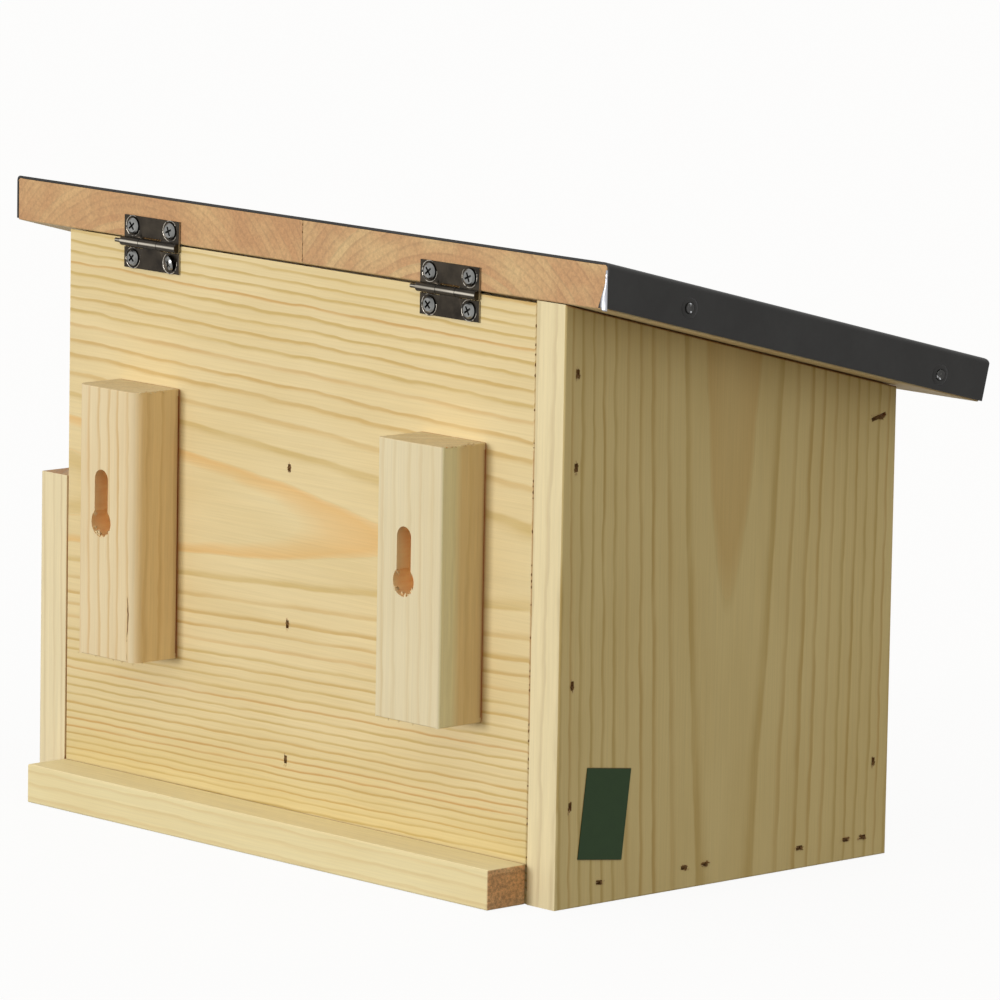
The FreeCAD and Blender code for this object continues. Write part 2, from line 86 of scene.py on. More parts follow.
def blank(name):
    """A new material, and its node tree with nothing in it."""
    material = bpy.data.materials.new(name)
    material.use_nodes = True
    material.node_tree.nodes.clear()
    return material, material.node_tree


def planed_pine(name, heart, turn, ring, edge=0.0, tilt=0.0, crowd=1.0, early="E3D0A0", late="C8A668",
                bold=None, ends="C79B6C", sap="D3B284", edges=None, strength=1.0, wander=0.5, resin=None,
                redness=0.7, nook="8A4C14", shaded_heights=(0.004, 1.0), bore=None, rough=0.08, outer=None,
                firm=None):
    """Planed pine: pale early wood and thin tan late wood in growth rings round a heart line.

    The eye gets flame figure where the cut runs along the rings, thin wavering lines where it crosses
    them, arcs and a darker, blotchy tone on end grain, and a dull silky sheen. heart is a point on the
    tree's heart in metres and turn lays the grain along x. In millimetres, ring is the ring spacing, edge
    the radius of one year's end (bold is that year's late wood and where in the year it starts), resin the
    places between which the wood dulls towards the foot, and bore the middle of a keyhole along and across
    the grain, whose wood gets painted light. crowd squeezes the rings below. edges is the tone of the rougher
    sawn edges, on some boards set pale as partly painted light; nook is the tone of the shade painted into
    the joints between the two heights that follow it, and rough how strongly the saw tore the end grain.
    outer is the tone of a sawn edge's planed outer part, and the place along y in metres where it begins.
    firm holds the distances to either side of the heart between which the late wood gets half as dark again.
    """
    material, tree = blank(name)
    spot = add(tree, "TexCoord")
    turn = [math.radians(a) for a in turn]
    lie = add(tree, "Mapping", {"Vector": spot["Object"], "Location": heart, "Rotation": turn,
                                "Scale": (0.001, 0.001, 0.001)}, vector_type="TEXTURE")[0]
    u, v, w = add(tree, "SeparateXYZ", {0: lie})

    # The tree wasn't a perfect cone: its rings wander over a hand's length and waver over a finger's width.
    slow = add(tree, "VectorMath", {0: lie, 1: (1 / 90, 1 / 24, 1 / 24)}, operation="MULTIPLY")[0]
    sway = add(tree, "TexNoise", {"Vector": slow, "Scale": 1.0, "Detail": 1.5, "Roughness": 0.4})["Fac"]
    sway = add(tree, "Math", {0: sway, 1: -0.5}, operation="ADD")[0]
    sway = add(tree, "Math", {0: sway, 1: wander}, operation="MULTIPLY")[0]
    quick = add(tree, "VectorMath", {0: lie, 1: (1 / 16, 1 / 7, 1 / 7)}, operation="MULTIPLY")[0]
    waver = add(tree, "TexNoise", {"Vector": quick, "Scale": 1.0, "Detail": 2.0})["Fac"]
    waver = add(tree, "Math", {0: waver, 1: -0.5}, operation="ADD")[0]
    far = add(tree, "Math", {0: v}, operation="ABSOLUTE")[0]
    slant = add(tree, "MapRange", {"Value": far, "From Max": 60.0, "To Min": 0.05, "To Max": 0.5 * ring})[0]
    sway = add(tree, "Math", {0: waver, 1: slant, 2: sway}, operation="MULTIPLY_ADD")[0]

    # Distance from the heart, with the heart line tilted in the board and rings crowded on one side.
    depth = add(tree, "Math", {0: u, 1: tilt, 2: w}, operation="MULTIPLY_ADD")[0]
    low = add(tree, "Math", {0: v, 1: 0.0}, operation="MINIMUM")[0]
    wide = add(tree, "Math", {0: low, 1: crowd - 1, 2: v}, operation="MULTIPLY_ADD")[0]
    flat = add(tree, "CombineXYZ", {"X": wide, "Y": depth})[0]
    radius = add(tree, "VectorMath", {0: flat}, operation="LENGTH")["Value"]
    radius = add(tree, "Math", {0: radius, 1: sway}, operation="ADD")[0]
    radius = add(tree, "Math", {0: radius, 1: edge}, operation="SUBTRACT")[0]
    years = add(tree, "TexNoise", {"W": radius, "Scale": 1 / (2.7 * ring), "Detail": 1.0},
                noise_dimensions="1D")["Fac"]
    years = add(tree, "Math", {0: years, 1: -0.5}, operation="ADD")[0]
    years = add(tree, "Math", {0: years, 1: 0.5 * ring, 2: radius}, operation="MULTIPLY_ADD")[0]
    count = add(tree, "Math", {0: years, 1: ring}, operation="DIVIDE")[0]
    season = add(tree, "Math", {0: count}, operation="FRACT")[0]
    year = add(tree, "Math", {0: count}, operation="FLOOR")[0]

    # Late wood darkens through the last quarter of the year and stops sharply. Each year differs in
    # depth and in redness, and each line fades and deepens along its length.
    seasons = [((0.0, 0.4), (0.04, 0.0), (0.64, 0.05), (0.75, 0.4), (0.84, 0.95), (0.96, 1.0), (1.0, 0.4))]
    if bold:
        tint, start = bold
        seasons.append(((0.0, 0.5), (0.04, 0.0), (start, 0.0), (start / 2 + 0.45, 0.65), (0.92, 1.0),
                        (1.0, 0.5)))
    bands = []
    for stops in seasons:
        ramp = add(tree, "ValToRGB", {"Fac": season})["Color"]
        shades = ramp.node.color_ramp.elements
        shades.remove(shades[1])
        for place, level in stops:
            stop = shades.new(place) if place else shades[0]
            stop.color = (level, level, level, 1)
        bands.append(ramp)
    chance = add(tree, "TexWhiteNoise", {"W": year}, noise_dimensions="1D")
    weight = add(tree, "MapRange", {"Value": chance["Value"], "To Min": 0.6 * strength,
                                    "To Max": strength})[0]
    along = add(tree, "VectorMath", {0: lie, 1: (1 / 32, 1 / 4, 1 / 4)}, operation="MULTIPLY")[0]
    along = add(tree, "TexNoise", {"Vector": along, "Scale": 1.0, "Detail": 2.0})["Fac"]
    along = add(tree, "MapRange", {"Value": along, "From Min": 0.35, "From Max": 0.62, "To Min": 0.62,
                                   "To Max": 1.0})[0]
    weight = add(tree, "Math", {0: weight, 1: along}, operation="MULTIPLY")[0]
    if firm:
        begin, full = firm
        dense = add(tree, "MapRange", {"Value": far, "From Min": begin, "From Max": full, "To Min": 1.0,
                                       "To Max": 1.5})[0]
        weight = add(tree, "Math", {0: weight, 1: dense}, operation="MULTIPLY")[0]
    dark = add(tree, "Math", {0: bands[0], 1: weight}, operation="MULTIPLY", use_clamp=True)[0]
    red = add(tree, "SeparateXYZ", {0: chance["Color"]})["Y"]
    red = add(tree, "MapRange", {"Value": red, "From Min": 0.4, "To Max": redness})[0]
    line = add(tree, "Mix", {"Factor": red, 6: linear(late), 7: linear("CE9A5C")}, data_type="RGBA")[2]
    if bold:
        marked = add(tree, "Math", {0: year, 1: -1.0, 2: 0.5}, operation="COMPARE")[0]
        dark = add(tree, "Mix", {"Factor": marked, 2: dark, 3: bands[1]})[0]
        line = add(tree, "Mix", {"Factor": marked, 6: line, 7: linear(tint)}, data_type="RGBA")[2]
    face = add(tree, "Mix", {"Factor": dark, 6: linear(early), 7: line}, data_type="RGBA")[2]

    # Slow changes of tone over the board, and fibres about 0.6 mm wide and 40 mm long.
    tone = add(tree, "TexNoise", {"Vector": slow, "Scale": 1.7, "Detail": 2.0})["Fac"]
    tone = add(tree, "MapRange", {"Value": tone, "From Min": 0.35, "From Max": 0.7, "To Min": 0.0,
                                  "To Max": 0.2})[0]
    face = add(tree, "Mix", {"Factor": tone, 6: face, 7: linear(late)}, data_type="RGBA")[2]
    if resin:
        warm = add(tree, "MapRange", {"Value": v, "From Min": resin[0], "From Max": resin[1]})[0]
        face = add(tree, "Mix", {"Factor": warm, 6: face, 7: linear("F3F3E6")}, data_type="RGBA",
                   blend_type="MULTIPLY")[2]
    fine = add(tree, "VectorMath", {0: lie, 1: (1 / 40, 1 / 0.6, 1 / 0.6)}, operation="MULTIPLY")[0]
    fibre = add(tree, "TexNoise", {"Vector": fine, "Scale": 1.0, "Detail": 3.0, "Roughness": 0.65})["Fac"]
    streak = add(tree, "MapRange", {"Value": fibre, "From Min": 0.3, "From Max": 0.7, "To Min": 0.95,
                                    "To Max": 1.04})[0]
    face = add(tree, "VectorMath", {0: face, 3: streak}, operation="SCALE")[0]

    # Sawn edges are rougher and even in tone, with torn fibres about 1 mm wide and 30 mm long.
    # Where their tone is set paler than the face, it is partly painted light.
    square = add(tree, "Mapping", {"Vector": spot["Normal"], "Rotation": turn}, vector_type="TEXTURE")[0]
    square = add(tree, "VectorMath", {0: square}, operation="ABSOLUTE")[0]
    square = add(tree, "SeparateXYZ", {0: square})
    if edges:
        sawn = add(tree, "MapRange", {"Value": square["Y"], "From Min": 0.6, "From Max": 0.9,
                                      "To Max": 0.65})[0]
        crumb = add(tree, "VectorMath", {0: lie, 1: (1 / 30, 1.0, 1.0)}, operation="MULTIPLY")[0]
        crumb = add(tree, "TexNoise", {"Vector": crumb, "Scale": 1.0, "Detail": 4.0,
                                       "Roughness": 0.7})["Fac"]
        crumb = add(tree, "MapRange", {"Value": crumb, "From Min": 0.35, "From Max": 0.65, "To Min": 0.92,
                                       "To Max": 1.06})[0]
        faint = add(tree, "Math", {0: dark, 1: -0.13, 2: 1.01}, operation="MULTIPLY_ADD")[0]
        crumb = add(tree, "Math", {0: crumb, 1: faint}, operation="MULTIPLY")[0]
        bare = linear(edges)[:3]
        if outer:
            smooth, begin = outer
            blur = 0.0015
            out = add(tree, "SeparateXYZ", {0: spot["Object"]})["Y"]
            out = add(tree, "MapRange", {"Value": out, "From Min": begin - blur,
                                         "From Max": begin + blur})[0]
            bare = add(tree, "Mix", {"Factor": out, 6: linear(edges), 7: linear(smooth)},
                       data_type="RGBA")[2]
        sawn_edge_and_painted_light = add(tree, "VectorMath", {0: bare, 3: crumb}, operation="SCALE")[0]
        face = add(tree, "Mix", {"Factor": sawn, 6: face, 7: sawn_edge_and_painted_light}, data_type="RGBA")[2]

    # End grain drinks light: darker and redder, uneven from year to year and in blotches a finger wide,
    # with open pores, drawn 0.9 mm wide so that they show.
    cut = add(tree, "MapRange", {"Value": square["X"], "From Min": 0.55, "From Max": 0.9})[0]
    pore = add(tree, "TexNoise", {"Vector": lie, "Scale": 1 / 0.9, "Detail": 3.0, "Roughness": 0.7})["Fac"]
    pore = add(tree, "MapRange", {"Value": pore, "From Min": 0.35, "From Max": 0.65, "To Min": 1 - rough,
                                  "To Max": 1 + 1.1 * rough})[0]
    shade = add(tree, "Math", {0: dark, 1: -0.26, 2: 1.0}, operation="MULTIPLY_ADD")[0]
    shade = add(tree, "Math", {0: shade, 1: pore}, operation="MULTIPLY")[0]
    blotch = add(tree, "TexNoise", {"Vector": lie, "Scale": 1 / 13, "Detail": 3.0})["Fac"]
    blotch = add(tree, "Math", {0: chance["Value"], 1: 0.3, 2: blotch}, operation="MULTIPLY_ADD")[0]
    blotch = add(tree, "MapRange", {"Value": blotch, "From Min": 0.48, "From Max": 0.86})[0]
    butt = add(tree, "Mix", {"Factor": blotch, 6: linear(ends), 7: linear(sap)}, data_type="RGBA")[2]
    butt = add(tree, "VectorMath", {0: butt, 3: shade}, operation="SCALE")[0]
    colour = add(tree, "Mix", {"Factor": cut, 6: face, 7: butt}, data_type="RGBA")[2]

    # Painted shade darkens the joints brown 1.3 mm deep, but not the ends; in a keyhole, painted light makes
    # the wood clean, warm and bright 9 mm down, streaked by the cutter.
    painted_nook_tone, deep, hole_light_reach = linear(nook), 0.0013, 0.009
    clear = add(tree, "Math", {0: 1.0, 1: cut}, operation="SUBTRACT")[0]
    if bore:
        half_long, half_wide = 14.0, 5.5
        inside = add(tree, "Math", {0: u, 1: bore[0], 2: half_long}, operation="COMPARE")[0]
        within = add(tree, "Math", {0: v, 1: bore[1], 2: half_wide}, operation="COMPARE")[0]
        inside = add(tree, "Math", {0: inside, 1: within}, operation="MULTIPLY")[0]
        milled_wood_and_light = add(tree, "VectorMath", {0: lie, 1: (1 / 1.4, 1 / 1.4, 1 / 5)}, operation="MULTIPLY")[0]
        milled_wood_and_light = add(tree, "TexNoise", {"Vector": milled_wood_and_light, "Scale": 1.0, "Detail": 3.0})["Fac"]
        milled_wood_and_light = add(tree, "Mix", {"Factor": milled_wood_and_light, 6: linear("EDB47A"), 7: linear("FFE6B4")},
                     data_type="RGBA")[2]
        painted_nook_tone = add(tree, "Mix", {"Factor": inside, 6: painted_nook_tone, 7: milled_wood_and_light}, data_type="RGBA")[2]
        deep = add(tree, "Math", {0: inside, 1: hole_light_reach - deep, 2: deep}, operation="MULTIPLY_ADD")[0]
        clear = add(tree, "Math", {0: clear, 1: inside}, operation="MAXIMUM")[0]
    shut = add(tree, "AmbientOcclusion", {"Distance": deep}, samples=8)["AO"]
    shut = add(tree, "MapRange", {"Value": shut, "From Min": 0.45, "From Max": 0.92, "To Min": 0.95,
                                  "To Max": 0.0})[0]
    rise = add(tree, "SeparateXYZ", {0: spot["Object"]})["Z"]
    rise = add(tree, "Math", {0: rise, 1: sum(shaded_heights) / 2, 2: (shaded_heights[1] - shaded_heights[0]) / 2},
               operation="COMPARE")[0]
    shut = add(tree, "Math", {0: shut, 1: rise}, operation="MULTIPLY")[0]
    shut = add(tree, "Math", {0: shut, 1: clear}, operation="MULTIPLY")[0]
    colour = add(tree, "Mix", {"Factor": shut, 6: colour, 7: painted_nook_tone}, data_type="RGBA")[2]

    height = add(tree, "Math", {0: dark, 1: 0.15, 2: fibre}, operation="MULTIPLY_ADD")[0]
    grain = add(tree, "Bump", {"Strength": 0.35, "Distance": 0.00012, "Height": height})[0]
    sheen = add(tree, "MapRange", {"Value": dark, "To Min": 0.63, "To Max": 0.5})[0]
    shader = add(tree, "BsdfPrincipled", {"Base Color": colour, "Roughness": sheen, "Normal": grain,
                                          "IOR": 1.5, "Specular IOR Level": 0.35})
    add(tree, "OutputMaterial", {"Surface": shader[0]})
    return material


# Marks the edges that a plane or sandpaper takes the sharpness off: the long ones, not the holes' rims.
plane_edges = bpy.data.node_groups.new("long_sharp_edges", "GeometryNodeTree")
plane_edges.interface.new_socket("Board", in_out="INPUT", socket_type="NodeSocketGeometry")
least = plane_edges.interface.new_socket("Shortest", in_out="INPUT", socket_type="NodeSocketFloat")
plane_edges.interface.new_socket("Board", in_out="OUTPUT", socket_type="NodeSocketGeometry")
given = add(plane_edges, "NodeGroupInput")
angle = add(plane_edges, "GeometryNodeInputMeshEdgeAngle")["Unsigned Angle"]
sharp = add(plane_edges, "Math", {0: angle, 1: 0.6}, operation="GREATER_THAN")[0]
tips = add(plane_edges, "GeometryNodeInputMeshEdgeVertices")
reach = add(plane_edges, "VectorMath", {0: tips["Position 1"], 1: tips["Position 2"]},
            operation="DISTANCE")["Value"]
chosen = add(plane_edges, "Math", {0: reach, 1: given["Shortest"]}, operation="GREATER_THAN")[0]
chosen = add(plane_edges, "Math", {0: sharp, 1: chosen}, operation="MULTIPLY")[0]
crisp = add(plane_edges, "GeometryNodeSetMeshNormal", {"Mesh": given["Board"], "Edge Sharpness": sharp})
marked = add(plane_edges, "GeometryNodeStoreNamedAttribute",
             {"Geometry": crisp[0], "Name": "bevel_weight_edge", "Value": chosen}, domain="EDGE")
add(plane_edges, "NodeGroupOutput", {"Board": marked[0]})


def ease_edges(name, width, shortest=14.5):
    """Round a piece's edges over shortest by width, both in millimetres, and keep its faces flat."""
    board = nodes[name]
    board.modifiers.new("whole", "WELD").merge_threshold = 2e-6
    mark = board.modifiers.new("long_edges", "NODES")
    mark.node_group = plane_edges
    mark[least.identifier] = shortest / 1000
    edge = board.modifiers.new("eased_edges", "BEVEL")
    edge.width = width / 1000
    edge.segments = 3
    edge.limit_method = "WEIGHT"
    edge.use_clamp_overlap = False
    even = board.modifiers.new("even_normals", "WEIGHTED_NORMAL")
    even.weight = 80
    even.keep_sharp = True


low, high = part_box("left_hanger")
# Shade is painted brown into its joints only between the hangers' foot and top, beside the hangers.
nodes["back_panel"].data.materials[0] = planed_pine(
    "planed_pine_back", (0.0028, -0.0303, 0.0967), (90, 0, 0), 1.9, edge=100.73, tilt=0.015, crowd=1.2,
    late="C9AE6E", bold=("E0BA7C", 0.6), wander=0.4, resin=(-58, -84), nook="A85C1C",
    shaded_heights=(low[2], high[2]), firm=(38, 62))
ease_edges("back_panel", 0.5)


# Full side panel: pine board with upright grain and a flame figure, its top cut to the roof's slope.
# Brads through its back edge and foot hold it to the back panel and the floor.
# Its pale edge tone is partly painted light, keeping the lit back edge paler than the shaded face.
nodes["full_side_panel"].data.materials[0] = planed_pine(
    "planed_pine_full_side", (-0.0678, 0.0022, 0.103), (0, -90, 0), 3.3, edge=45.36, tilt=-0.02,
    bold=("D6BA7C", 0.35), wander=1.0, early="E3D097", late="C2A764", edges="E6DAB6", redness=0.35)
ease_edges("full_side_panel", 0.5)


# Low side panel: the same pine, a little over half as high, so that a squirrel can sit in the porch.
# Brads hold it to the back panel and the floor.
# Its pale edge tone is partly painted light, as on the full side.
nodes["low_side_panel"].data.materials[0] = planed_pine(
    "planed_pine_low_side", (0.060, 0.030, 0.05), (0, -90, 0), 3.1, tilt=0.015, wander=0.9, early="E5D4A6",
    edges="E6DAB6")
ease_edges("low_side_panel", 0.5)


# Floor board: pine, grain from side to side, under the bin and the porch.
# The sides, the back and the front board are nailed round it.
nodes["floor_board"].data.materials[0] = planed_pine(
    "planed_pine_floor", (0.0, -0.012, -0.045), (0, 0, 0), 3.4, tilt=0.012, wander=0.9)
ease_edges("floor_board", 0.4, 10)


# Partition, front board and front rail: pine boards that make the feed bin and its lip.
# Each is let in and held with brads; the partition and the full side are grooved for the pane.
for name, heart, turn, ring, tilt in (("partition", (0.050, -0.010, 0.02), (0, -90, 0), 3.2, 0.02),
                                      ("front_board", (0.02, -0.110, 0.030), (90, 0, 0), 3.3, 0.014),
                                      ("front_rail", (-0.05, -0.105, 0.100), (90, 0, 0), 2.9, 0.01)):
    pine = planed_pine("planed_pine_" + name, heart, turn, ring, tilt=tilt, wander=0.9)
    nodes[name].data.materials[0] = pine
    ease_edges(name, 0.4, 10)


# Joint dust: dark crumbs of resin and sawdust caught in the joint of the back panel and the full side.
# They sit in the groove between the two eased edges and break the joint's line into dots.
def specked(name, wide, dark, pale, finish):
    """A surface of dark and paler specks, wide metres across; finish holds the shader's other values."""
    material, tree = blank(name)
    spot = add(tree, "TexCoord")["Object"]
    clump = add(tree, "TexNoise", {"Vector": spot, "Scale": 1 / wide, "Detail": 2.0})["Fac"]
    colour = add(tree, "Mix", {"Factor": clump, 6: linear(dark), 7: linear(pale)}, data_type="RGBA")[2]
    shader = add(tree, "BsdfPrincipled", {"Base Color": colour, **finish})
    add(tree, "OutputMaterial", {"Surface": shader[0]})
    return material


def new_piece(name, points, faces, material, body):
    """A mesh piece too fine for the solids, in one material, that moves with a body of the frame."""
    mesh = bpy.data.meshes.new(name)
    mesh.from_pydata(points, [], faces)
    mesh.materials.append(material)
    piece = bpy.data.objects.new(name, mesh)
    bpy.context.scene.collection.objects.link(piece)
    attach(piece, body)
    return piece


def tube_faces(first, rings, sides):
    """Faces of a closed tube of rings of points, each with that many sides, from point number first."""
    faces = []
    for ring in range(rings - 1):
        for k in range(sides):
            a, b = first + ring * sides + k, first + ring * sides + (k + 1) % sides
            faces.append((a, b, b + sides, a + sides))
    last = first + (rings - 1) * sides
    faces.append(tuple(range(first + sides - 1, first - 1, -1)))
    faces.append(tuple(range(last, last + sides)))
    return faces


def crumbs(name, foot, top, seed, body, slot, spread):
    """A broken row of lumpy crumbs along a joint between two points, spread times the gaps apart."""
    lengths, half_widths, gaps = (0.0003, 0.0011), (0.00012, 0.00024), (0.001, 0.002, 0.0045, 0.009)
    rings, sides, blunt = 5, 6, 0.15
    chance = random.Random(seed)
    foot, top = Vector(foot), Vector(top)
    way = (top - foot).normalized()
    side = way.orthogonal().normalized()
    lift = way.cross(side)
    at, points, faces = 0.0, [], []
    while at < (top - foot).length:
        long, thick = chance.uniform(*lengths), chance.uniform(*half_widths)
        middle = foot + way * (at + long / 2)
        faces += tube_faces(len(points), rings, sides)
        for ring in range(rings):
            t = 2 * ring / (rings - 1) - 1
            round_off = math.sqrt(max(0.0, 1 - t * t)) + blunt
            for k in range(sides):
                a = 2 * math.pi * k / sides
                swell = thick * round_off * chance.uniform(0.75, 1.25)
                points.append(middle + way * t * long / 2 + swell * (side * math.cos(a) + lift * math.sin(a)))
        at += long + spread * chance.choice(gaps)
    new_piece(name, points, faces, dust, body).data.shade_smooth()


# Resin and sawdust are matt dark-brown crumbs, redder where the resin is thick. The same crumbs are used
# as painted shade behind the hinge barrels.
dust = specked("resin_sawdust_and_painted_shade", 0.0008, "46300F", "8A632C", {"Roughness": 0.8, "IOR": 1.5})
low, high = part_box("back_panel")
spacer_top, back_top, sunk = 0.0135, 0.1715, 0.0002
joint = [(low[0], high[1] - sunk, z) for z in (spacer_top, back_top)]
crumbs("joint_dust", *joint, 3, "box", "pine", 1.0)


# Window pane: clear cast acrylic sheet, sawn and slid down two grooves in front of the feed.
# Polished faces, with the edges left slightly dull by the saw.
def clear_acrylic():
    """Clear cast acrylic: sharp reflections, almost no colour, and fine rubbed marks."""
    material, tree = blank("clear_cast_acrylic")
    spot = add(tree, "TexCoord")["Object"]
    rubbed = add(tree, "VectorMath", {0: spot, 1: (90, 90, 700)}, operation="MULTIPLY")[0]
    rubbed = add(tree, "TexNoise", {"Vector": rubbed, "Scale": 1.0, "Detail": 3.0})["Fac"]
    rough = add(tree, "MapRange", {"Value": rubbed, "From Min": 0.5, "From Max": 0.75, "To Min": 0.02,
                                   "To Max": 0.12})[0]
    shader = add(tree, "BsdfPrincipled", {"Base Color": linear("F4F8F6"), "Roughness": rough, "IOR": 1.49,
                                          "Transmission Weight": 1.0})
    add(tree, "OutputMaterial", {"Surface": shader[0]})
    return material


nodes["window_pane"].data.materials[0] = clear_acrylic()


# Hanger battens: two short pieces of straight-grained pine, screwed to the back from inside.
# A keyhole is milled in each, so that the box hangs on two screws in a wall or a tree.
low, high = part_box("left_hanger")
foot_clear, top_clear, planed_deep = 0.0015, 0.002, 0.0064
joint, planed = (low[2] + foot_clear, high[2] - top_clear), high[1] - planed_deep
# Brown shade is painted into their joints, clear of the ends, and light is painted into the keyholes.
nodes["left_hanger"].data.materials[0] = planed_pine(
    "planed_pine_left_hanger", (-0.012, 0.030, 0.05), (0, -90, -90), 3.6, tilt=0.006, early="DFD2AE",
    late="CDB888", ends="D2BE94", sap="DACAA6", edges="DCBC7E", strength=0.6, redness=0.3, nook="A85C1C",
    shaded_heights=joint, bore=(47, -52.8), outer=("EBE4B4", planed))
nodes["right_hanger"].data.materials[0] = planed_pine(
    "planed_pine_right_hanger", (0.120, 0.032, 0.05), (0, -90, -90), 3.1, tilt=0.008, early="E3D1A9",
    late="CDAA72", ends="D6C29A", sap="E0CFAA", edges="ECCD96", strength=0.9, wander=0.3, nook="A85C1C",
    shaded_heights=joint, bore=(47, -50.8))
ease_edges("left_hanger", 0.4)
ease_edges("right_hanger", 0.4)


# Torn fibres: the keyhole cutter and the saw lifted a few pale splinters of the hangers' wood.
# They stand at the keyholes' shoulders and feet, along the sawn lower ends and at the tops' left edges.
def torn_pine():
    """Torn pine fibre: matt and paler than a planed face, browned here and there."""
    material, tree = blank("torn_pine_fibre")
    spot = add(tree, "TexCoord")["Object"]
    patch = add(tree, "TexNoise", {"Vector": spot, "Scale": 1 / 0.0015, "Detail": 2.0})["Fac"]
    patch = add(tree, "MapRange", {"Value": patch, "From Min": 0.4, "From Max": 0.75})[0]
    colour = add(tree, "Mix", {"Factor": patch, 6: linear("E6D6AC"), 7: linear("BC935C")},
                 data_type="RGBA")[2]
    shader = add(tree, "BsdfPrincipled", {"Base Color": colour, "Roughness": 0.75, "IOR": 1.5,
                                          "Specular IOR Level": 0.25})
    add(tree, "OutputMaterial", {"Surface": shader[0]})
    return material


def slivers(name, roots, seed, material):
    """Pointed splinters, each from a root in metres, a direction, and a length and thickness in mm."""
    rings, sides, bow, taper = 4, 3, 0.3, 0.8
    chance = random.Random(seed)
    points, faces = [], []
    for root, way, long, thick in roots:
        way = Vector(way).normalized()
        side = way.orthogonal().normalized()
        lift = way.cross(side)
        bend = side * chance.uniform(-bow, bow) + lift * chance.uniform(-bow, bow)
        *walls, cap = tube_faces(len(points), rings, sides)
        faces += walls
        for ring in range(rings):
            t = ring / rings
            for k in range(sides):
                a = 2 * math.pi * k / sides
                out = (side * math.cos(a) + lift * math.sin(a)) * (1 - taper * t) * thick / 2000
                points.append(Vector(root) + (way * t + bend * t * t) * long / 1000 + out)
        faces += [(cap[k], cap[(k + 1) % sides], len(points)) for k in range(sides)]
        points.append(Vector(root) + (way + bend) * long / 1000)
    new_piece(name, points, faces, material, "box")


torn = torn_pine()
entry_rim, slot_half, shoulder_rise = 0.0044, 0.0030, 0.0031
at_foot, at_lower_end, at_top = 26, 16, 18
for side, middle in (("left", -0.0648), ("right", 0.0692)):
    chance = random.Random(len(side))
    low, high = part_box(side + "_hanger")
    sill = (low[2] + high[2]) / 2
    roots = []
    for shoulder, at_shoulder in ((-1, 3), (1, 7)):
        for k in range(at_shoulder):
            root = (middle + shoulder * (slot_half + chance.uniform(-0.0001, 0.0009)),
                    high[1] - chance.uniform(0.0, 0.0012),
                    sill + shoulder_rise + chance.uniform(-0.0007, 0.0006))
            way = (-0.5 * shoulder, chance.uniform(0.0, 0.5), chance.uniform(-1.6, -0.4))
            roots.append((root, way, chance.uniform(0.9, 2.0), chance.uniform(0.25, 0.5)))
    for k in range(at_foot):
        a = math.radians(chance.uniform(205, 335))
        root = (middle + entry_rim * math.cos(a), high[1] - chance.uniform(0.0001, 0.0016),
                sill + entry_rim * math.sin(a))
        way = (-math.cos(a), chance.uniform(-0.2, 0.4), -math.sin(a))
        roots.append((root, way, chance.uniform(0.4, 1.1), chance.uniform(0.6, 1.1)))
    for k in range(at_lower_end):
        root = (chance.uniform(low[0] + 0.0005, high[0] - 0.001),
                high[1] - chance.choice((0.0002, 0.004, 0.009)), low[2] + 0.0001)
        way = (chance.uniform(-0.6, 0.6), 0.2, -1)
        roots.append((root, way, chance.uniform(0.3, 0.8), chance.uniform(0.25, 0.5)))
    for k in range(at_top):
        root = (low[0] + chance.uniform(0.0, 0.0006), high[1] - chance.uniform(0.001, 0.012),
                high[2] - chance.uniform(0.0, 0.0004))
        way = (-0.5, chance.uniform(-0.8, 0.8), chance.uniform(-0.6, 0.5))
        roots.append((root, way, chance.uniform(0.4, 1.2), chance.uniform(0.35, 0.7)))
    slivers(side + "_keyhole_fibres", roots, 5, torn)


# Drying split: a hair-fine crack along the grain, low on the right hanger's rounded edge.
# It is drawn as a thin dark strip, so the eye sees a dark broken line.
low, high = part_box("right_hanger")
from_edge, from_foot, split_long, split_half, split_deep = 0.0031, 0.0008, 0.0195, 0.00022, 0.00044
hair, sway, skin = 0.00004, 0.0003, 0.00001
chance = random.Random(11)
points, rings = [], 25
for ring in range(rings):
    t = ring / (rings - 1)
    half = hair + split_half * math.sin(math.pi * (1 - t) ** 0.7) * chance.uniform(0.4, 1.0)
    x = low[0] + from_edge + sway * math.sin(7 * t) + chance.uniform(-0.0001, 0.0001)
    for reach, deep in ((-half, skin), (half, skin), (0.0, split_deep)):
        points.append((x + reach, high[1] - deep, low[2] + from_foot + split_long * t))
new_piece("drying_split", points, tube_faces(0, rings, 3), dust, "box")


# Bottom spacer: a plain pine batten nailed across the foot, so that the hung box stays upright.
# Planed on its faces and rough from the saw at its ends.
# Its near-white edge tone is painted light that lifts its top to the back face's brightness.
nodes["bottom_spacer"].data.materials[0] = planed_pine(
    "planed_pine_spacer", (0.0, 0.078, -0.042), (90, 0, 0), 4.2, edge=52.6, tilt=0.006, early="EADCAC",
    late="D6BA7E", ends="CC9C6C", sap="DDBB90", edges="FCF2CC", strength=0.7, wander=1.6, rough=0.32)
ease_edges("bottom_spacer", 0.5, 10)


# Brads: thin steel nails shot in by air, a little under the surface. Only their small heads show, in the
# bottom of their holes: bright wire browned by resin, dull and dark with a few paler rubbed spots.
brad_steel = specked("browned_brad_steel", 0.0006, "4A3018", "8A6236", {"Metallic": 0.4, "Roughness": 0.55})
for name in ("full_side_brads", "low_side_brads", "partition_brads", "front_brads", "spacer_brads"):
    nodes[name].data.materials[0] = brad_steel


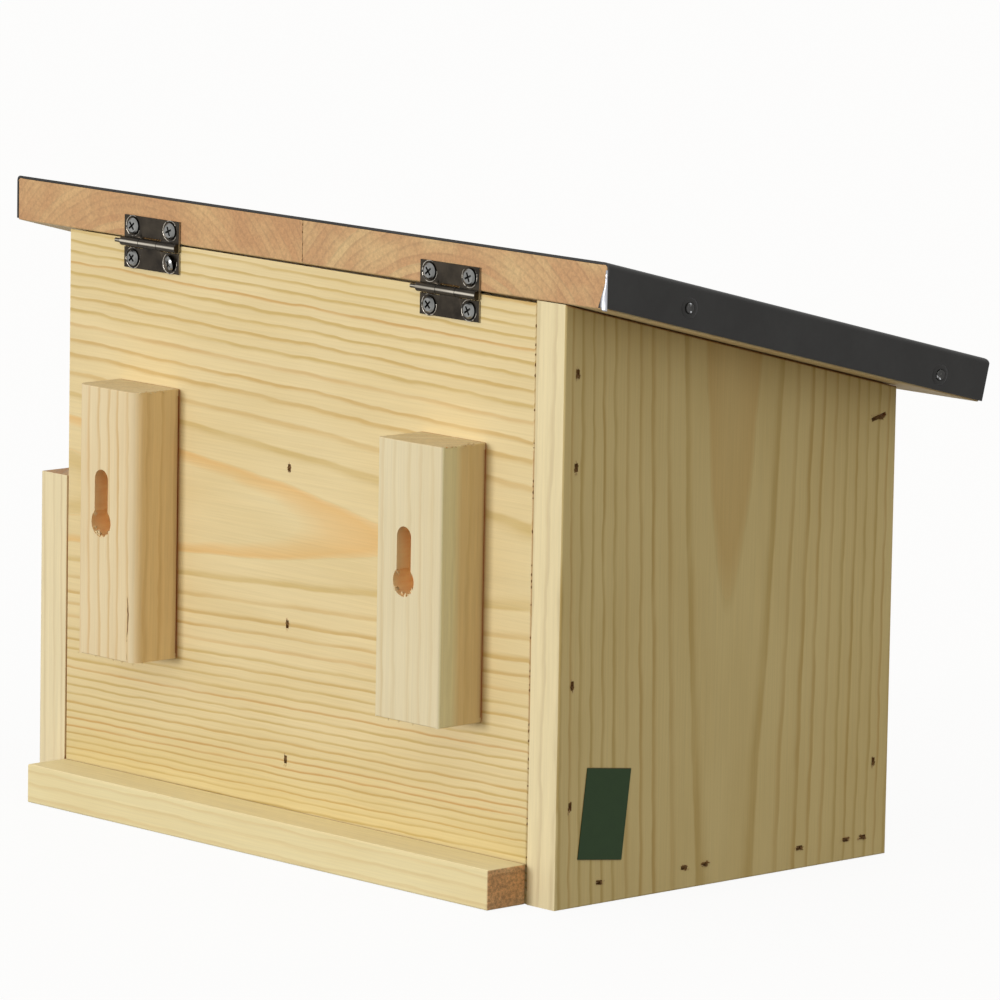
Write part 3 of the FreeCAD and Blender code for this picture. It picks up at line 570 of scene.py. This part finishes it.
# Brad marks: each brad tore the board round its head, mostly along the head's own line.
# Browned splinters lie in the torn spot, and a few pale ones stand at its rim.
hole_deep = 0.00084
for name, out, torn_share in (("full_side_brads", (-1, 0, 0), 0.8), ("low_side_brads", (1, 0, 0), 0.8),
                              ("partition_brads", (0, 1, 0), 0.45), ("front_brads", (0, -1, 0), 0.7)):
    chance = random.Random(name)
    out = Vector(out)
    wire = nodes[name].data
    tops = [face.vertices for face in wire.polygons if face.normal.dot(out) > 0.9]
    # Each head's flat top is two triangles in a row.
    halves = [[wire.vertices[i].co for i in top] for top in tops]
    browned, pale = [], []
    for first, second in zip(halves[0::2], halves[1::2]):
        middle = sum(first + second, Vector()) / len(first + second)
        reach = [max(abs(corner[i] - middle[i]) for corner in first + second) for i in range(3)]
        half = max(reach)
        way = Vector((0, 0, 0))
        way[reach.index(half)] = 1
        across = out.cross(way)
        rim = middle + out * hole_deep
        for end in (-1, 1):
            for k in range(3):
                root = rim + way * end * chance.uniform(0.0, 0.0004)
                root += across * chance.uniform(-0.0005, 0.0005)
                lean = way * end + across * chance.uniform(-0.3, 0.3) + out * chance.uniform(0.0, 0.06)
                long = torn_share * (1000 * half + chance.uniform(0.1, 0.6))
                browned.append((root, lean, long, chance.uniform(0.6, 1.0)))
        for k in range(chance.choice((0, 1, 2, 3))):
            root = rim + way * chance.uniform(-0.0007, 0.0007)
            lean = across * chance.choice((-1, 1)) + way * chance.uniform(-0.7, 0.7)
            browned.append((root, lean, torn_share * chance.uniform(0.8, 1.5), chance.uniform(0.7, 1.1)))
        for k in range(3):
            end = chance.choice((-1, 1))
            root = rim + way * end * (half + chance.uniform(0.0, 0.0004))
            root += across * chance.uniform(-0.0006, 0.0006)
            lean = way * chance.choice((-1, 1)) + out * chance.uniform(0.1, 0.4)
            lean += across * chance.uniform(-0.4, 0.4)
            pale.append((root, lean, chance.uniform(0.5, 1.1), chance.uniform(0.2, 0.35)))
    slivers(name.replace("brads", "brad_marks"), browned, 7, dust)
    slivers(name.replace("brads", "torn_fibres"), pale, 9, torn)


# Butt hinges: two leaves rolled from thin steel strip round a loose pin, with a bronzed finish.
# A highlight is painted along the top of each barrel, and the finish is rubbed bright round the screw holes.
def bronzed_steel():
    """Bronzed strip steel: dark, warm, soft-shining and cloudy; painted light on barrels and cut ends."""
    material, tree = blank("bronzed_strip_steel")
    spot = add(tree, "TexCoord")
    cloud = add(tree, "TexNoise", {"Vector": spot["Object"], "Scale": 1 / 0.006, "Detail": 4.0,
                                   "Roughness": 0.6})["Fac"]
    cloud = add(tree, "MapRange", {"Value": cloud, "From Min": 0.3, "From Max": 0.7})[0]
    drawn = add(tree, "VectorMath", {0: spot["Object"], 1: (1 / 0.02, 1 / 0.0005, 1 / 0.0005)},
                operation="MULTIPLY")[0]
    drawn = add(tree, "TexNoise", {"Vector": drawn, "Scale": 1.0, "Detail": 2.0})["Fac"]
    colour = add(tree, "Mix", {"Factor": cloud, 6: linear("241F19"), 7: linear("423B31")},
                 data_type="RGBA")[2]
    above = add(tree, "SeparateXYZ", {0: spot["Object"]})["Y"]
    above = add(tree, "MapRange", {"Value": above, "From Min": leaf_face,
                                   "From Max": leaf_face + 0.0004})[0]
    level = add(tree, "SeparateXYZ", {0: spot["Normal"]})
    # Painted highlight: a bright line along each barrel where its face turns a little upwards, in streaks.
    crest = add(tree, "Math", {0: level["Z"], 1: -0.12}, operation="ADD")[0]
    crest = add(tree, "Math", {0: crest}, operation="ABSOLUTE")[0]
    crest = add(tree, "MapRange", {"Value": crest, "From Min": 0.1, "From Max": 0.34, "To Min": 1.7,
                                   "To Max": 0.0})[0]
    proud = add(tree, "MapRange", {"Value": level["Y"], "From Min": 0.6, "From Max": 0.9})[0]
    crest = add(tree, "Math", {0: crest, 1: proud}, operation="MULTIPLY")[0]
    rubbed = add(tree, "Math", {0: crest, 1: drawn}, operation="MULTIPLY")[0]
    rubbed = add(tree, "Math", {0: rubbed, 1: above}, operation="MULTIPLY", use_clamp=True)[0]
    # The cut ends facing along x are painted pale: partly bare cut steel, partly painted light.
    bare_and_lit_ends = add(tree, "Math", {0: level["X"]}, operation="ABSOLUTE")[0]
    bare_and_lit_ends = add(tree, "MapRange", {"Value": bare_and_lit_ends, "From Min": 0.6, "From Max": 0.95,
                                     "To Max": 0.65})[0]
    bare_and_lit_ends = add(tree, "Math", {0: bare_and_lit_ends, 1: above}, operation="SUBTRACT", use_clamp=True)[0]
    bare = add(tree, "Math", {0: rubbed, 1: bare_and_lit_ends}, operation="MAXIMUM")[0]
    colour = add(tree, "Mix", {"Factor": bare, 6: colour, 7: linear("BDB6A8")}, data_type="RGBA")[2]
    rough = add(tree, "MapRange", {"Value": drawn, "To Min": 0.3, "To Max": 0.5})[0]
    ridge = add(tree, "Bump", {"Strength": 0.15, "Distance": 0.00005, "Height": drawn})[0]
    shader = add(tree, "BsdfPrincipled", {"Base Color": colour, "Metallic": 0.9, "Roughness": rough,
                                          "Normal": ridge})
    add(tree, "OutputMaterial", {"Surface": shader[0]})
    return material


leaf_thickness = 0.0007
leaf_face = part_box("left_hinge_lower_leaf")[0][1] + leaf_thickness
hinge_steel = bronzed_steel()
for side in ("left", "right"):
    for name in (side + "_hinge_lower_leaf", side + "_hinge_upper_leaf", side + "_hinge_pin"):
        nodes[name].data.materials[0] = hinge_steel
        if "leaf" in name:
            ease_edges(name, 0.12, 3)


# Hinge shade: dark crumbs laid in the slots between each barrel and the leaves' edges, as painted shade.
# They keep the wood behind the barrels dark.
shade_crumb_deep, shade_crumb_out, shade_crumb_short = 0.0005, 0.0002, 0.0003
for side in ("left", "right"):
    lower, upper = (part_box(f"{side}_hinge_{leaf}_leaf") for leaf in ("lower", "upper"))
    for leaf, (low, high), z, body, slot in (("lower", lower, upper[0][2] - shade_crumb_out, "box", "pine"),
                                             ("upper", upper, lower[1][2] + shade_crumb_out, "lid", "roof_pine")):
        row = [(x, leaf_face - shade_crumb_deep, z) for x in (low[0] + shade_crumb_short, high[0] - shade_crumb_short)]
        crumbs(f"{side}_{leaf}_hinge_shade_crumbs", *row, 4, body, slot, 0.05)


# Wood screws: zinc-plated, countersunk, with a cross recess. Four hold each hinge; two from inside
# hold each hanger.
def zinc_plate():
    """Zinc-plated steel: a plain mid-grey with a soft cloudy bloom, and painted shade in the recess."""
    material, tree = blank("zinc_plated_steel")
    spot = add(tree, "TexCoord")["Object"]
    bloom = add(tree, "TexNoise", {"Vector": spot, "Scale": 1 / 0.002, "Detail": 3.0})["Fac"]
    colour = add(tree, "Mix", {"Factor": bloom, 6: linear("626361"), 7: linear("9C9C99")},
                 data_type="RGBA")[2]
    # Painted shade: the cross recess and other hollows within 1.2 mm are darkened.
    nook = add(tree, "AmbientOcclusion", {"Distance": 0.0012}, samples=8)["AO"]
    nook = add(tree, "MapRange", {"Value": nook, "From Min": 0.3, "From Max": 0.9, "To Min": 0.45,
                                  "To Max": 0.0})[0]
    colour = add(tree, "Mix", {"Factor": nook, 6: colour, 7: linear("3E3C39")}, data_type="RGBA")[2]
    rough = add(tree, "MapRange", {"Value": bloom, "To Min": 0.22, "To Max": 0.4})[0]
    shader = add(tree, "BsdfPrincipled", {"Base Color": colour, "Metallic": 1.0, "Roughness": rough})
    add(tree, "OutputMaterial", {"Surface": shader[0]})
    return material


zinc = zinc_plate()
for name in ("lower_leaf_screws", "upper_leaf_screws", "hanger_screws"):
    nodes[name].data.materials[0] = zinc


# Countersink rims: the burr that the countersink left round each screw hole of the leaves.
# Bare steel where the bronzing was cut through, worn away along a part of each ring.
def rubbed_steel(name, hidden, bare="C9CBCE"):
    """Steel with its paint rubbed through: bright where bare, dark in the leftovers of the paint."""
    material, tree = blank(name)
    spot = add(tree, "TexCoord")["Object"]
    worn = add(tree, "TexNoise", {"Vector": spot, "Scale": 1 / 0.0014, "Detail": 3.0})["Fac"]
    worn = add(tree, "MapRange", {"Value": worn, "From Min": hidden, "From Max": hidden + 0.08})[0]
    colour = add(tree, "Mix", {"Factor": worn, 6: linear("2A2927"), 7: linear(bare)}, data_type="RGBA")[2]
    rough = add(tree, "MapRange", {"Value": worn, "To Min": 0.4, "To Max": 0.3})[0]
    shader = add(tree, "BsdfPrincipled", {"Base Color": colour, "Metallic": worn, "Roughness": rough})
    add(tree, "OutputMaterial", {"Surface": shader[0]})
    return material


burr = rubbed_steel("burred_steel", 0.42, "B9B2A6")
rim, burr_half, head_gap, head_deep = 0.0031, 0.0002, 0.003, 0.0002
rings, sides = 41, 5
for name, body in (("lower_leaf_screws", "box"), ("upper_leaf_screws", "lid")):
    chance = random.Random(name)
    corners = [v.co for v in nodes[name].data.vertices]
    spots = sorted((corner.x, corner.z) for corner in corners if corner.y > leaf_face - head_deep)
    heads = [[spots[0]]]
    for spot in spots[1:]:
        if spot[0] - heads[-1][-1][0] > head_gap:
            heads.append([])
        heads[-1].append(spot)
    points, faces = [], []
    for head in heads:
        x, z = ((min(p[i] for p in head) + max(p[i] for p in head)) / 2 for i in (0, 1))
        start, sweep = chance.uniform(2.4, 3.6), chance.uniform(4.4, 5.6)
        faces += tube_faces(len(points), rings, sides)
        for ring in range(rings):
            t = ring / (rings - 1)
            a = start + sweep * t
            thick = max(burr_half * math.sin(math.pi * t) ** 0.4 * chance.uniform(0.7, 1.2), 0.1 * burr_half)
            for k in range(sides):
                b = 2 * math.pi * k / sides
                away, up = rim + thick * math.cos(b), thick * math.sin(b)
                points.append((x + away * math.cos(a), leaf_face + up, z + away * math.sin(a)))
    rims = name.replace("leaf_screws", "countersink_rims")
    new_piece(rims, points, faces, burr, body).data.shade_smooth()


# Roof boards: two pine boards glued edge to edge, grain running down the slope.
# Their sawn back ends show the rings as arcs; the lid hinges there.
# Dark shade is painted into the boards' joints above the lid's foot, round the hinge barrels.
lid_foot, seam, sunk = 0.1751, (0.1755, 0.1868), 0.0001
for side, heart, ring, ends, sap, strength in (
        ("left", (-0.0640, 0.0, 0.126), 2.8, "BF956A", "CFB07F", 0.8),
        ("right", (0.0730, 0.0, 0.130), 2.5, "BD9166", "CBA676", 0.6)):
    nodes[side + "_roof_board"].data.materials[0] = planed_pine(
        f"planed_pine_{side}_roof", heart, (0, 0, 90), ring, early="E3CF9F", late="CFA56B", ends=ends,
        sap=sap, strength=strength, wander=2.6, nook="3C1204", shaded_heights=(lid_foot, 1.0), rough=0.12)
    ease_edges(side + "_roof_board", 0.3, 10)
low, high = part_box("left_roof_board")
joint = [(high[0], high[1] - sunk, z) for z in seam]
crumbs("glue_line_dust", *joint, 8, "lid", "roof_pine", 0.3)


# Roof sheet: thin steel, painted anthracite before it was folded down over the lid's edges.
# Flat nails hold its flanges; the paint is a little orange-peeled and dusty.
def painted_steel():
    """Stove-painted sheet steel: dark grey, satin, with a fine orange-peel skin and a faint film of dust."""
    material, tree = blank("anthracite_painted_steel")
    spot = add(tree, "TexCoord")["Object"]
    peel = add(tree, "TexNoise", {"Vector": spot, "Scale": 1 / 0.0012, "Detail": 2.0})["Fac"]
    film = add(tree, "TexNoise", {"Vector": spot, "Scale": 1 / 0.02, "Detail": 4.0,
                                  "Roughness": 0.6})["Fac"]
    pale = add(tree, "MapRange", {"Value": film, "From Min": 0.4, "From Max": 0.8, "To Max": 0.1})[0]
    colour = add(tree, "Mix", {"Factor": pale, 6: linear("232221"), 7: linear("7C7F82")},
                 data_type="RGBA")[2]
    rough = add(tree, "MapRange", {"Value": film, "To Min": 0.34, "To Max": 0.49})[0]
    skin = add(tree, "Bump", {"Strength": 0.12, "Distance": 0.00008, "Height": peel})[0]
    shader = add(tree, "BsdfPrincipled", {"Base Color": colour, "Roughness": rough, "Normal": skin,
                                          "IOR": 1.5, "Specular IOR Level": 0.3})
    add(tree, "OutputMaterial", {"Surface": shader[0]})
    return material


anthracite = painted_steel()
nodes["roof_sheet"].data.materials[0] = anthracite


# Rubbed fold: the left flange's back corner, tapped in over the boards' end and rubbed bare there.
# A thin curved lip of the sheet; bare zinced steel, so it glints.
low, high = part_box("roof_sheet")
lip_heights_and_widths = ((174.6, 1.1), (175.1, 1.8), (176.2, 2.1), (177.8, 1.9), (179.4, 1.4), (181.0, 0.85),
                          (182.6, 0.55), (184.4, 0.45), (186.2, 0.4))
lip_out, lip_lift, lip_bulge, full_width, columns = 0.0003, 0.0001, 0.0006, 1.2, 6
points, faces = [], []
for row, (z, wide) in enumerate(lip_heights_and_widths):
    for column in range(columns):
        s = column / (columns - 1)
        bulge = lip_bulge * math.sin(1.9 * s) * min(wide, full_width) / full_width
        points.append((low[0] - lip_out + wide * s / 1000, high[1] + lip_lift + bulge, z / 1000))
        if row and column:
            b = row * columns + column
            faces.append((b - columns - 1, b - 1, b, b - columns))
zinced = rubbed_steel("rubbed_zinced_steel", 0.12, "B2B3B8")
fold = new_piece("rubbed_fold", points, faces, zinced, "lid")
fold.data.shade_smooth()
thick = fold.modifiers.new("sheet_thickness", "SOLIDIFY")
thick.thickness = 0.00035
thick.offset = 0.0


# Roof nails: flat-headed nails, hammered through the flanges into the boards' edges, two on each side.
# The blows dished and tilted the heads, rubbed their rims bare and left a low dented lip round each.
# Both outlines are turned from radii and heights in millimetres.
nail = ((0, 0.20), (0.6, 0.17), (1.05, 0.27), (1.32, 0.38), (1.5, 0.34), (1.58, 0.14), (1.5, -0.04),
        (0.7, -0.1), (0.7, -12.4), (0.35, -13.3), (0, -14.0))
dent = ((1.68, 0.02), (1.95, 0.1), (2.3, 0.13), (2.75, 0.06), (3.2, 0.0), (3.2, -0.15), (1.68, -0.15),
        (1.68, 0.02))
flange_face, tallest, sides, oval, head_under = 0.1298, 0.0004, 24, 0.04, -0.05
nail_places = ((0.03776, 0.17299, 1), (-0.06555, 0.14535, 2))
points, faces, finish = [], [], []
for out in (-1, 1):
    for y, z, seed in nail_places:
        chance = random.Random(seed + out)
        lean_y, lean_z = chance.uniform(-0.1, 0.1), chance.uniform(-0.12, 0.02)
        for profile, lean, coat in ((nail, 1.0, 0), (dent, 0.0, 1)):
            start = len(points)
            for r, rise in profile:
                for k in range(sides):
                    a = 2 * math.pi * k / sides
                    uneven = r * (1 + oval * math.sin(2 * a + seed)) / 1000
                    dy, dz = uneven * math.cos(a), uneven * math.sin(a)
                    tip = lean * (dy * lean_y + dz * lean_z) if rise > head_under else 0.0
                    points.append((out * (flange_face + min(rise / 1000 + tip, tallest)), y + dy, z + dz))
            walls = tube_faces(start, len(profile), sides)[:-2]
            faces += walls if out < 0 else [(a, d, c, b) for a, b, c, d in walls]
            finish += [coat] * len(walls)
rubbed_head = rubbed_steel("rubbed_nail_head", 0.56)
nails = new_piece("hammered_roof_nails", points, faces, rubbed_head, "lid")
nails.data.materials.append(anthracite)
nails.data.polygons.foreach_set("material_index", finish)
nails.data.shade_smooth()
nails.modifiers.new("closed_tips", "WELD").merge_threshold = 2e-6
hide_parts("roof_sheet_nails")


# Label: a plain self-adhesive film, dark green and blank, pressed on near the foot of the side.
# Satin, with faint dimples from the wood under it.
def green_film():
    """Vinyl film: even dark green with a satin skin that follows the wood a little."""
    material, tree = blank("green_vinyl_film")
    spot = add(tree, "TexCoord")["Object"]
    dimple = add(tree, "TexNoise", {"Vector": spot, "Scale": 1 / 0.003, "Detail": 2.0})["Fac"]
    colour = add(tree, "Mix", {"Factor": dimple, 6: linear("274020"), 7: linear("2E4825")},
                 data_type="RGBA")[2]
    skin = add(tree, "Bump", {"Strength": 0.1, "Distance": 0.0001, "Height": dimple})[0]
    shader = add(tree, "BsdfPrincipled", {"Base Color": colour, "Roughness": 0.42, "Normal": skin,
                                          "IOR": 1.5, "Specular IOR Level": 0.2})
    add(tree, "OutputMaterial", {"Surface": shader[0]})
    return material


nodes["blank_label"].data.materials[0] = green_film()


# Studio floor: a white sweep, wide enough for every view. The lens, metal and the pane see it as
# white paper with a faint shadow; the object gets its plain bounce.
def in_sight(tree):
    """1 for what the lens sees, straight or by way of metal or the pane, and 0 for the light it gives."""
    path = add(tree, "LightPath")
    seen = add(tree, "Math", {0: path["Is Camera Ray"], 1: path["Is Glossy Ray"]}, operation="MAXIMUM")[0]
    return add(tree, "Math", {0: seen, 1: path["Is Transmission Ray"]}, operation="MAXIMUM")[0]


def white_paper():
    """White background paper: matt, with the object's shadow left faint in it."""
    material, tree = blank("white_background_paper")
    seen = in_sight(tree)
    tint = add(tree, "Mix", {"Factor": seen, 6: linear("7C7C7C"), 7: linear("FFFFFF")}, data_type="RGBA")[2]
    matt = add(tree, "BsdfDiffuse", {"Color": tint})[0]
    seen = add(tree, "Math", {0: seen, 1: 0.92}, operation="MULTIPLY")[0]
    white = add(tree, "Emission", {"Color": linear("FFFFFF"), "Strength": 1.0})[0]
    both = add(tree, "MixShader", {0: seen, 1: matt, 2: white})[0]
    add(tree, "OutputMaterial", {"Surface": both})
    return material


paper = bpy.data.meshes.new("paper")
reach, clearance = 6.0, 0.0002
corners = [(-reach, -reach, 0), (reach, -reach, 0), (reach, reach, 0), (-reach, reach, 0)]
paper.from_pydata(corners, [], [(0, 1, 2, 3)])
paper.materials.append(white_paper())
sweep = bpy.data.objects.new("studio_floor", paper)
sweep.location = (0, 0, cad_low[2] - clearance)
bpy.context.scene.collection.objects.link(sweep)


# Light: one wide lamp nearly square to the back panel, a little from the low side, and an even, warm room.
# Together they give the back panel its written colour, soften the hangers' shadows and leave the full side
# in open shade.
world = bpy.data.worlds.new("white_room")
bpy.context.scene.world = world
world.use_nodes = True
air = world.node_tree
air.nodes.clear()
seen = in_sight(air)
level = add(air, "MapRange", {"Value": seen, "To Min": 0.71, "To Max": 1.0})[0]
tint = add(air, "Mix", {"Factor": seen, 6: linear("FFF8E9"), 7: linear("FFFFFF")}, data_type="RGBA")[2]
room = add(air, "Background", {"Color": tint, "Strength": level})[0]
add(air, "OutputWorld", {"Surface": room})
lamp = bpy.data.lights.new("soft_key", "SUN")
lamp.energy = 1.82
lamp.color = linear("FDFDFF")[:3]
lamp.angle = math.radians(13)
key = bpy.data.objects.new("soft_key", lamp)
key.rotation_euler = Vector((0.16, 0.96, 0.08)).to_track_quat("Z", "Y").to_euler()
bpy.context.scene.collection.objects.link(key)


# Camera: a long lens from behind and a little above, aimed near the middle of the box.
# It is rolled by a degree, as the photograph was.
turn, lift, roll = math.radians(226.789), math.radians(8.863), math.radians(1.004)
back = Vector((math.sin(turn) * math.cos(lift), -math.cos(turn) * math.cos(lift), math.sin(lift)))
right = (-back).cross(Vector((0, 0, 1))).normalized()
up = right.cross(-back)
right, up = right * math.cos(roll) + up * math.sin(roll), up * math.cos(roll) - right * math.sin(roll)
lens = bpy.data.cameras.new("long_lens")
lens.lens = 285.22
lens.sensor_width = 36.0
camera = bpy.data.objects.new("camera", lens)
aim, distance = Vector((-0.01822, 0.005303, 0.100903)), 2.3566
stance = Matrix((right, up, back)).transposed().to_4x4()
camera.matrix_world = Matrix.Translation(aim + distance * back) @ stance
bpy.context.scene.collection.objects.link(camera)
bpy.context.scene.camera = camera
bpy.context.scene.view_settings.view_transform = "Standard"
